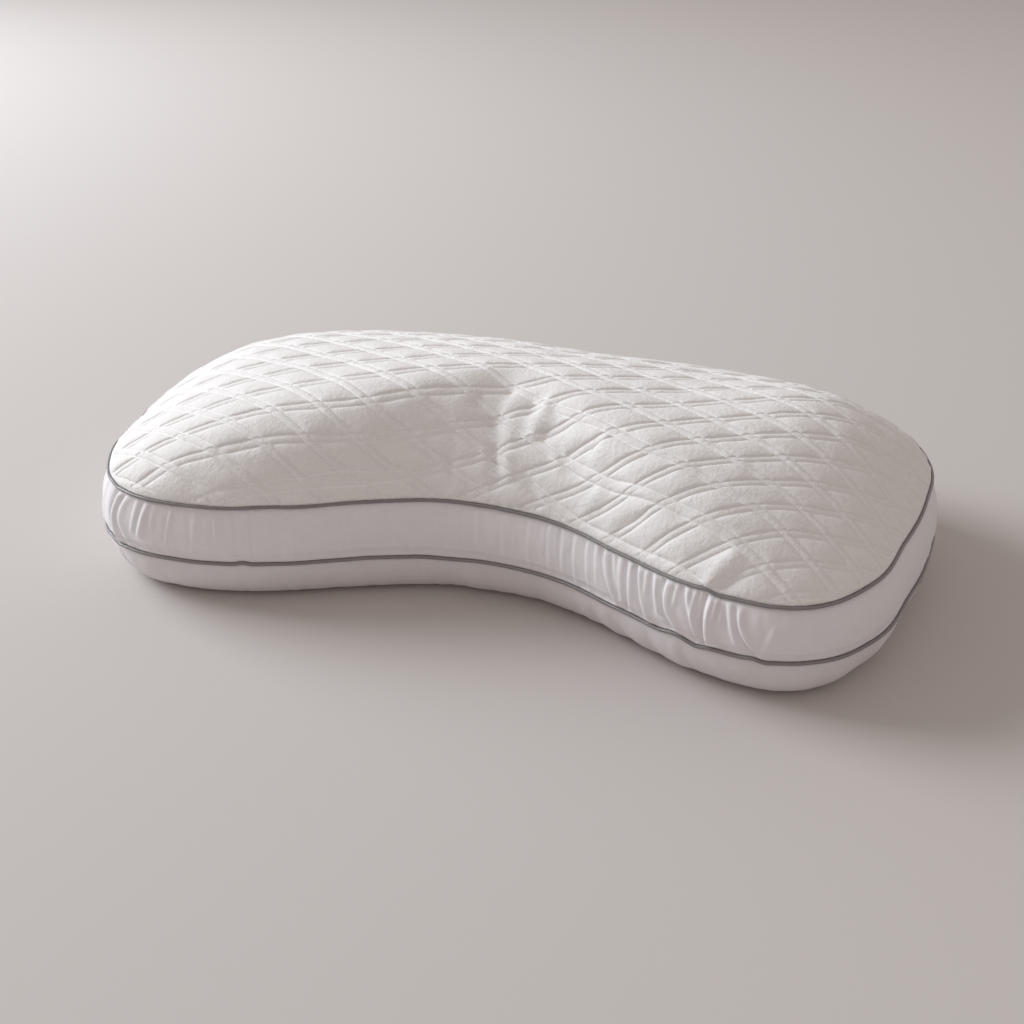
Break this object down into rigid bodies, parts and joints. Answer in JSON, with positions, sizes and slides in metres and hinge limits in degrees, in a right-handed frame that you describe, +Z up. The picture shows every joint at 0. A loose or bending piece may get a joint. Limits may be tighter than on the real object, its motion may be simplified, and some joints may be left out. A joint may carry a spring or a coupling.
{
  "type": "side-sleeper pillow",
  "caption": "Filled pillow with a waist curved in on one side, a quilted crowned top, a plain gusset and bottom, and grey piped seams.",
  "frame": {"origin": "middle of the pillow's box, on the flat base that it rests on", "axes": "+X along the pillow, -Y towards the side that the waist curves in from, +Z up through the crown"},
  "size_m": [0.7094, 0.4132, 0.1695],
  "materials": {
    "quilted_top": "white quilted cotton, matt, with a fine mottled weave",
    "gusset_cloth": "plain smooth white cotton, slightly cooler than the top",
    "bottom_cloth": "plain smooth white cotton",
    "piping_satin": "grey satin with a soft highlight"
  },
  "bodies": {
    "root": {"quilted_cushion": "quilted_top", "gusset": "gusset_cloth", "bottom_panel": "bottom_cloth", "upper_piping": "piping_satin", "lower_piping": "piping_satin"}
  },
  "joints": []
}
